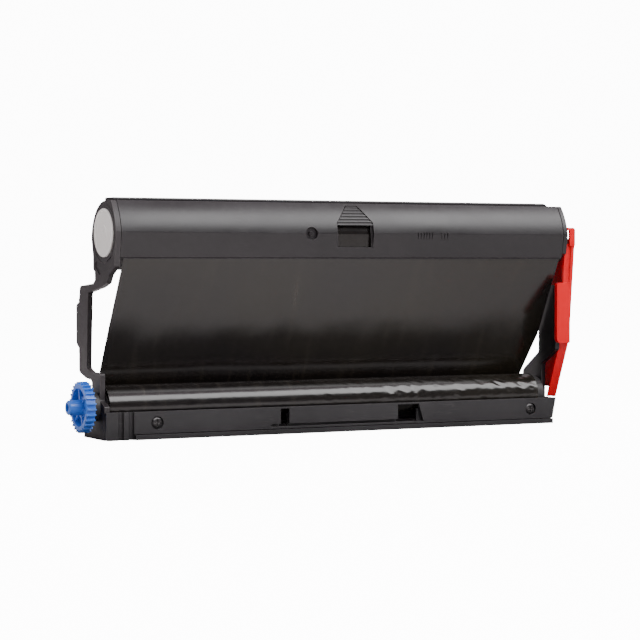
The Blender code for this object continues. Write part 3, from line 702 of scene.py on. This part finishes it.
def tube_end_top():
    """Upper outline of a side plate, which closes the end of the housing."""
    back = arc(REAR_CENTRE, REAR_RADIUS, 0, 90, 24)
    top = rounded_run([(REAR_CENTRE[0], FLAT_TOP, 0), (-17.15, FLAT_TOP, 0.8), (-17.7, 100.0, 0)])
    return back + top + arc(FRONT_CENTRE, FRONT_RADIUS, *FRONT_SWEEP, 24)


def left_plate():
    """Outer plate: ring round the end cap, bowed arm behind the film, ear round the take-up shaft."""
    lower = rounded_run([(-22.9, 87.3, 0), (-21.2, 73.2, 1.0), (-14.6, 69.4, 1.5), (-12.3, 66.2, 1.5),
                         (-5.5, 64.3, 1.5), (9.1, 62.0, 1.5), (11.0, 29.8, 2.0), (6.0, 28.2, 1.0),
                         (-4.5, 28.0, 0.8), (-4.5, 16.6, 1.0), (-9.6, 14.2, 0.8), (-9.6, 0, 0),
                         (14.0, 0, 0), (14.0, 12.0, 0), (4.8, 12.0, 0), (4.8, 24.8, 1.5), (12.0, 25.5, 2.0),
                         (19.8, 27.8, 2.0), (19.8, 36.2, 1.5), (26.2, 39.7, 2.5), (26.2, 56.4, 1.5),
                         (19.6, 59.5, 1.0), (18.7, 64.8, 2.0), (3.2, 66.0, 1.0), (1.0, 67.4, 0.8),
                         (1.2, 70.9, 0.8), (3.0, 72.2, 0.8), (3.0, 77.4, 2.0), (4.7, 84.6, 0)])
    plate = slab("left_plate", tube_end_top() + lower, -PLATE_OUTER, -PLATE_INNER)
    cap_hole = peg("cap_hole", "X", SUPPLY_AXIS, -115, -105, 10.5, 96)
    shaft_hole = peg("shaft_hole", "X", TAKEUP_AXIS, -115, -105, SHAFT_HOLE, 48)
    step = block("step", (-115, 20.0, 36), (-110.8, 30, 60))
    pocket = slab("pocket", rounded([(-20.0, 76.0, 1), (-14.0, 71.6, 1), (-4.0, 69.6, 1), (1.6, 73.4, 1),
                                     (0.2, 75.6, 1), (-9.4, 74.4, 6), (-17.6, 77.6, 1)]), -113, -111.5)
    ring = turned("ring", [(12.6, -112.6), (12.6, -111.75), (12.1, -111.75), (12.1, -112.6)], SUPPLY_AXIS, 96)
    cut(plate, cap_hole, shaft_hole, step, pocket, ring)
    soften(plate, 0.3, 2)
    finish_piece(plate, PLATE, "frame", "black_plastic", "left_side_plate")


def right_plate():
    """Outer plate with a forward arm and a slanted foot; a stub inside carries the supply spool."""
    lower = rounded_run([(-22.9, 87.3, 0), (-21.5, 79.0, 1.0), (-13.6, 74.4, 1.5), (-8.7, 73.8, 1.0),
                         (-8.7, 64.4, 1.5), (-16.2, 64.4, 1.5), (-16.2, 34.5, 2.0), (-4.4, 27.5, 2.0),
                         (-4.4, 12.0, 0), (-9.6, 12.0, 0), (-9.6, 0, 0), (14.0, 0, 0), (14.0, 12.0, 0),
                         (11.7, 12.0, 0), (11.7, 24.0, 2.0), (8.9, 26.0, 2.0), (-1.7, 33.0, 2.0),
                         (-1.7, 58.5, 4.0), (1.4, 64.5, 2.0), (1.4, 69.7, 1.0), (4.7, 72.6, 1.0),
                         (4.7, 84.6, 0)])
    plate = slab("right_plate", tube_end_top() + lower, PLATE_INNER, PLATE_OUTER)
    shaft_hole = peg("shaft_hole", "X", TAKEUP_AXIS, 105, 115, SHAFT_HOLE, 48)
    pocket = slab("pocket", rounded([(-14.4, 62.4, 1), (-14.4, 35.6, 1.2), (-4.0, 29.6, 1), (-3.6, 33.0, 1),
                                     (-3.6, 58.0, 1), (-1.0, 62.4, 1)]), 111.4, 113)
    cut(plate, shaft_hole, pocket)
    stub = peg("stub", "X", SUPPLY_AXIS, 103.5, 110.5, 3.3, 40)
    join(plate, stub)
    soften(plate, 0.3, 2)
    # The right plate takes the darker housing plastic instead of the left plate's side-plate plastic: painted
    # shade for its shaded inner face.
    finish_piece(plate, HOUSING, "frame", "black_plastic", "right_side_plate")


# --- tray and bar ------------------------------------------------------------------

def tray():
    """Open channel under the take-up spool, with a lip that shows below the bar."""
    channel = rounded([(-9.6, 0, 0), (14.0, 0, 0.6), (14.0, BAR_TOP, 0.5), (12.2, BAR_TOP, 0.5),
                       (12.2, 2.0, 1.5), (-8.3, 2.0, 1.0), (-8.3, 8.9, 0.3), (-9.6, 8.9, 0.3)])
    trough = slab("tray", channel, -BODY_HALF, BODY_HALF)
    lip = block("lip", (LIP_LEFT, -12.6, 0), (110.9, BAR_BACK, 2.2))
    root = block("root", (LIP_LEFT, -10.4, 0), (BODY_HALF, -9.0, 2.2))
    join(trough, lip, root)
    holes = [peg("hole", "Y", spot, -9.8, -8.0, SCREW_HOLE, 32) for spot in BAR_SCREWS]
    notches = [block("notch", (left, -9.8, NOTCH_LOW), (right, -8.0, NOTCH_HIGH))
               for left, right in (NOTCH_LEFT, NOTCH_RIGHT)]
    cut(trough, *holes, *notches)
    soften(trough, 0.25, 2)
    finish_piece(trough, TRAY, "frame", "black_plastic", "lower_tray")


def bar():
    """Front bar with a springy tongue between two notches and two grooves near its left end."""
    outline = rounded([(-112.0, 0, 0.8), (-99.3, 0, 0), (-99.3, 2.5, 0), (111.2, 2.5, 0.3),
                       (113.1, BAR_TOP, 0.3), (-112.0, BAR_TOP, 0.3)])
    rail = slab("front_rail", outline, BAR_FRONT, BAR_BACK, "Y")
    left, right = NOTCH_LEFT, NOTCH_RIGHT
    slanted = [(right[0], NOTCH_LOW), (right[1] + 2.5, NOTCH_LOW),
               (right[1], NOTCH_HIGH), (right[0], NOTCH_HIGH)]
    notches = [block("notch", (left[0], -13, NOTCH_LOW), (left[1], -8, NOTCH_HIGH)),
               slab("notch", slanted, -13, -8, "Y"),
               block("slit", (-35.0, -13, NOTCH_LOW), (right[0] + 0.2, -8, 4.6))]
    seats = [peg("seat", "Y", spot, -13, BAR_FRONT + 1.1, 2.8, 48) for spot in BAR_SCREWS]
    holes = [peg("hole", "Y", spot, BAR_FRONT, -8, SCREW_HOLE, 32) for spot in BAR_SCREWS]
    grooves = []
    for x in BAR_GROOVES:
        shape = bmesh.new()
        bmesh.ops.create_cone(shape, cap_ends=True, segments=48, radius1=1.3, radius2=1.3, depth=30,
                              matrix=Matrix.Translation((x, BAR_FRONT + 0.1, 6)))
        grooves.append(to_object("groove", shape))
    cut(rail, *notches, *seats, *holes, *grooves)
    soften(rail, 0.25, 2)
    finish_piece(rail, TRAY, "frame", "black_plastic", "front_bar")


def bar_screws():
    """Pan-head screws with a cross recess."""
    for name, (x, z) in zip(("left", "right"), BAR_SCREWS):
        shape = bmesh.new()
        front = BAR_FRONT + 0.05
        profile = [(0.0, front), (1.3, front + 0.02), (2.0, front + 0.16), (2.4, front + 0.45),
                   (2.5, front + 0.75), (1.1, front + 0.75), (1.1, -8.5), (0.0, -8.5)]
        points = [shape.verts.new((x + radius, place, z)) for radius, place in profile]
        lines = [shape.edges.new(pair) for pair in zip(points, points[1:])]
        bmesh.ops.spin(shape, geom=points + lines, cent=(x, 0, z), axis=(0, 1, 0), angle=math.tau,
                       steps=48, use_merge=True)
        bmesh.ops.remove_doubles(shape, verts=shape.verts, dist=0.001)
        bmesh.ops.recalc_face_normals(shape, faces=shape.faces)
        screw = to_object("bar_screw_head_" + name, shape)
        deep = front + 0.55
        cut(screw, block("slot", (x - 1.5, BAR_FRONT - 1, z - 0.3), (x + 1.5, deep, z + 0.3)),
            block("slot", (x - 0.3, BAR_FRONT - 1, z - 1.5), (x + 0.3, deep, z + 1.5)))
        soften(screw, 0.06, 1)
        finish_piece(screw, SCREW_STEEL, "frame", "steel", "bar_screw_" + name)


# --- film ---------------------------------------------------------------------------

def takeup_tangent(start, radius):
    """Where a line from start touches the back of the take-up roll."""
    centre = Vector(TAKEUP_AXIS)
    away = Vector(start) - centre
    angle = math.atan2(away.y, away.x) - math.acos(radius / away.length)
    return centre + radius * Vector((math.cos(angle), math.sin(angle)))


def film_sheet():
    """Film from the supply spool over the rear shell's lip to the take-up roll, slightly wavy."""
    start = Vector((-20.45, SUPPLY_AXIS[1]))
    lip = Vector(FILM_LIP)
    end = takeup_tangent(lip, ROLL_RADIUS + 0.25)
    long_run = (end - lip).length
    short_run = (lip - start).length
    face = Vector((end - lip).normalized().yx)
    forward = Vector((-face.x, face.y))
    shape = bmesh.new()
    bmesh.ops.create_grid(shape, x_segments=150, y_segments=90, size=1)
    for vertex in shape.verts:
        across = vertex.co.x
        down = (1 - vertex.co.y) / 2 * (long_run + short_run)
        if down < short_run:
            place = start.lerp(lip, down / short_run)
            fall = 0.0
        else:
            fall = (down - short_run) / long_run
            place = lip.lerp(end, fall)
        left = -107.6 - 1.6 * fall
        right = 108.9 - 4.3 * min(1.0, max(0.0, (fall - 0.60) / 0.32))
        x = left + (right - left) * (across + 1) / 2
        free = math.sin(math.pi * min(fall, 1.0))
        wave = noise.noise(Vector((x * 0.020, down * 0.012, 1.3))) * 0.55
        wave += noise.noise(Vector((x * 0.055 + down * 0.02, down * 0.018, 7.1))) * 0.22
        curl = 0.9 * math.exp((x - right) / 9.0) + 0.2 * math.exp((left - x) / 3.0)
        lift = (wave + curl) * free
        place = place + forward * lift
        vertex.co = (x, place.x, place.y)
    bmesh.ops.recalc_face_normals(shape, faces=shape.faces)
    sheet = to_object("film_sheet", shape)
    wall = sheet.modifiers.new("thickness", "SOLIDIFY")
    wall.thickness = 0.12
    wall.offset = 0
    bake(sheet)
    sheet.data.shade_smooth()
    sheet.data.set_sharp_from_angle(angle=math.radians(50))
    finish_piece(sheet, WEB_FILM, "frame", "film", "film_web")


def wound_film():
    """Take-up roll: film wound with faint slanting wrinkles and stepped ends."""
    shape = bmesh.new()
    bmesh.ops.create_grid(shape, x_segments=260, y_segments=120, size=1)
    left, right = ROLL_ENDS
    for vertex in shape.verts:
        along = left + (right - left) * (vertex.co.x + 1) / 2
        angle = math.pi * vertex.co.y
        ridge = noise.noise(Vector((along * 0.24 + math.cos(angle) * 3.0, math.sin(angle) * 3.0, 2.0)))
        slow = noise.noise(Vector((along * 0.03, math.cos(angle), math.sin(angle))))
        strength = 0.15 + 0.85 * min(1.0, max(0.0, (along + 20) / 60))
        dip = 0.5 * strength * ridge * ridge + 0.08 * abs(slow)
        radius = ROLL_RADIUS - dip
        vertex.co = (along, TAKEUP_AXIS[0] + radius * math.cos(angle),
                     TAKEUP_AXIS[1] + radius * math.sin(angle))
    bmesh.ops.remove_doubles(shape, verts=shape.verts, dist=0.002)
    middle = Vector((0, TAKEUP_AXIS[0], TAKEUP_AXIS[1]))
    for side, x in ((-1, left), (1, right)):
        ring = [edge for edge in shape.edges if edge.is_boundary and abs(edge.verts[0].co.x - x) < 0.01]
        for radius, inset in ((8.7, 0.05), (8.3, 0.15), (7.9, 0.05), (7.4, 0.18), (6.65, 0.10)):
            grown = bmesh.ops.extrude_edge_only(shape, edges=ring)["geom"]
            ring = [item for item in grown if isinstance(item, bmesh.types.BMEdge)]
            for vertex in [item for item in grown if isinstance(item, bmesh.types.BMVert)]:
                arm = vertex.co - middle
                arm.x = 0
                vertex.co = middle + arm.normalized() * radius
                vertex.co.x = x - side * inset
    loops = [edge for edge in shape.edges if edge.is_boundary]
    bmesh.ops.bridge_loops(shape, edges=loops)
    bmesh.ops.recalc_face_normals(shape, faces=shape.faces)
    roll = to_object("wound_film", shape)
    roll.data.shade_smooth()
    roll.data.set_sharp_from_angle(angle=math.radians(40))
    finish_piece(roll, ROLL_FILM, "takeup_spool", "film", "takeup_film_roll")


def takeup_flange():
    """Right plug of the take-up spool, with a rim and drive notches."""
    profile = [(0, 112.0), (2.2, 112.0), (JOURNAL, 111.6), (JOURNAL, 109.4), (7.1, 109.4), (7.5, 109.0),
               (7.5, 105.5), (7.2, 105.1), (5.0, 105.1), (5.0, 95.4), (4.6, 95.0), (0, 95.0)]
    flange = turned("takeup_flange", profile, TAKEUP_AXIS, 64)
    notches = []
    for index in range(4):
        angle = math.radians(45 + 90 * index)
        notches.append(peg("notch", "X", (TAKEUP_AXIS[0] + 7.9 * math.cos(angle),
                                          TAKEUP_AXIS[1] + 7.9 * math.sin(angle)), 104, 110, 1.1, 20))
    cut(flange, *notches)
    soften(flange, 0.15, 2)
    finish_piece(flange, SPOOL_CORE, "takeup_spool", "core_plastic", "takeup_right_plug")


# --- end pieces -----------------------------------------------------------------------

def end_cap():
    """Pale disc on the supply spool: faint rim, shallow dished face and a gate mark."""
    cap = turned("end_cap", [(0, -99.0), (4.6, -99.0), (5.0, -99.4), (5.0, -109.0), (10.0, -109.0),
                             (10.2, -109.2), (10.2, -112.3), (9.95, -112.58), (9.5, -112.6), (9.25, -112.4),
                             (9.1, -112.15), (3.2, -112.1), (3.0, -112.3), (1.2, -112.3), (1.0, -112.15),
                             (0, -112.15)], SUPPLY_AXIS, 96)
    soften(cap, 0.08, 2)
    finish_piece(cap, CAP, "supply_spool", "grey_plastic", "supply_end_cap")


def gear():
    """Drive gear: teeth with rounded tips, recessed web, six ribs with gussets and a long hub."""
    y, z = TAKEUP_AXIS
    shape = bmesh.new()
    place = Matrix.Translation((-118.0, y, z)) @ Matrix.Rotation(math.radians(90), 4, "Y")
    bmesh.ops.create_cone(shape, cap_ends=True, segments=GEAR_TEETH * 3, radius1=GEAR_ROOT,
                          radius2=GEAR_ROOT, depth=4.0, matrix=place)
    shape.faces.ensure_lookup_table()
    sides = [face for face in shape.faces if len(face.verts) == 4]
    sides.sort(key=lambda side: math.atan2(side.calc_center_median().z - z, side.calc_center_median().y - y))
    grown = bmesh.ops.extrude_discrete_faces(shape, faces=sides[::3])["faces"]
    for face in grown:
        middle = face.calc_center_median()
        out = Vector((0, middle.y - y, middle.z - z)).normalized()
        side = Vector((0, -out.z, out.y))
        for vertex in face.verts:
            lean = (vertex.co - middle).dot(side)
            vertex.co += out * 1.22 - side * lean * 0.24
    bmesh.ops.recalc_face_normals(shape, faces=shape.faces)
    wheel = to_object("blue_gear", shape)
    cut(wheel, peg("recess", "X", TAKEUP_AXIS, -121.0, -117.4, 8.2, 84, 7.9))
    hub_profile = [(0, -125.0), (2.6, -125.0), (3.1, -124.5), (3.3, -121.5), (3.5, -116.3), (0, -116.3)]
    hub = turned("hub", hub_profile, TAKEUP_AXIS, 48)
    collar = turned("collar", [(0, -118.6), (4.6, -118.6), (4.7, -116.7), (0, -116.7)], TAKEUP_AXIS, 48)
    shaft = peg("shaft", "X", TAKEUP_AXIS, -116.9, -101.0, JOURNAL, 40)
    ribs = []
    for index in range(3):
        rib = block("rib", (-119.2 + 0.02 * index, -8.7, -0.5), (-116.5 - 0.03 * index, 8.7, 0.5))
        rib.data.transform(Matrix.Translation((0, y, z)) @
                           Matrix.Rotation(math.radians(15 + 60 * index), 4, "X"))
        ribs.append(rib)
    for piece in (*ribs, collar, hub, shaft):
        join(wheel, piece)
    cut(wheel, peg("socket", "X", TAKEUP_AXIS, -126.0, -122.0, 1.9, 32, 1.5))
    soften(wheel, 0.16, 2, 30)
    finish_piece(wheel, GEAR_BLUE, "takeup_spool", "blue_plastic", "drive_gear")


def transit_lock():
    """Removable clip over the right end: plate, front rim, thumb tab, strap and hook."""
    plate = rounded([(-21.2, 86.8, 0.6), (-16.7, 39.0, 6.0), (-5.6, 11.9, 0.5), (-4.0, 11.9, 0.5),
                     (-5.8, 16.5, 1.0), (2.5, 16.5, 2.0), (2.5, 60.0, 6.0), (-10.0, 78.0, 8.0),
                     (-17.6, 86.0, 1.5)])
    lock = slab("transit_lock", plate, LOCK_INNER, LOCK_OUTER)
    rim = rounded([(-19.9, 83.5, 0.2), (-16.5, 39.0, 5.8), (-5.5, 12.1, 0), (-4.8, 12.1, 0),
                   (-15.0, 38.4, 5.0), (-17.3, 62.0, 2.0), (-17.3, 72.0, 2.0), (-17.6, 83.5, 0.2)])
    tab = rounded([(108.7, 37.5, 2.2), (116.0, 37.5, 0.6), (116.0, 65.5, 0.6), (108.7, 65.5, 1.2)])
    strap = rounded([(114.0, 82.6, 0), (LOCK_OUTER, 82.6, 0), (LOCK_OUTER, 91.0, 1.3), (112.4, 91.0, 0.4),
                     (112.4, 89.8, 0.4), (114.0, 89.8, 0.3)])
    join(lock, slab("rim", rim, 112.3, 115.9), slab("tab", tab, -18.9, -16.8, "Y"),
         slab("strap", strap, -21.4, -20.2, "Y"))
    soften(lock, 0.4, 3, 30)
    finish_piece(lock, LOCK_RED, "lock", "red_plastic", "shipping_lock")


def dress_carried_nodes():
    """Materials for the pieces that keep their own shape."""
    plain = {"supply_core": SPOOL_CORE, "supply_film_roll": ROLL_FILM, "supply_right_plug": SPOOL_CORE,
             "supply_brake_spring": SCREW_STEEL, "takeup_core": SPOOL_CORE, "takeup_left_plug": SPOOL_CORE,
             "gear_spacer": SPOOL_CORE}
    for name, material in plain.items():
        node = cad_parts[name]
        for index in range(len(node.material_slots)):
            node.material_slots[index].material = material


add_camera()
add_world()
add_floor()
add_softbox("overhead_softbox", (0.48, -0.86, 0.89), (0.0, 0.0, 0.06), 2.4, 0.54, 29)
add_softbox("side_softbox", (-1.3, 0.5, 0.6), (0.0, 0.0, 0.05), 0.8, 0.8, 5)
front_shell()
rear_shell()
thumb_catch()
left_plate()
right_plate()
tray()
bar()
bar_screws()
film_sheet()
wound_film()
takeup_flange()
end_cap()
gear()
transit_lock()
dress_carried_nodes()
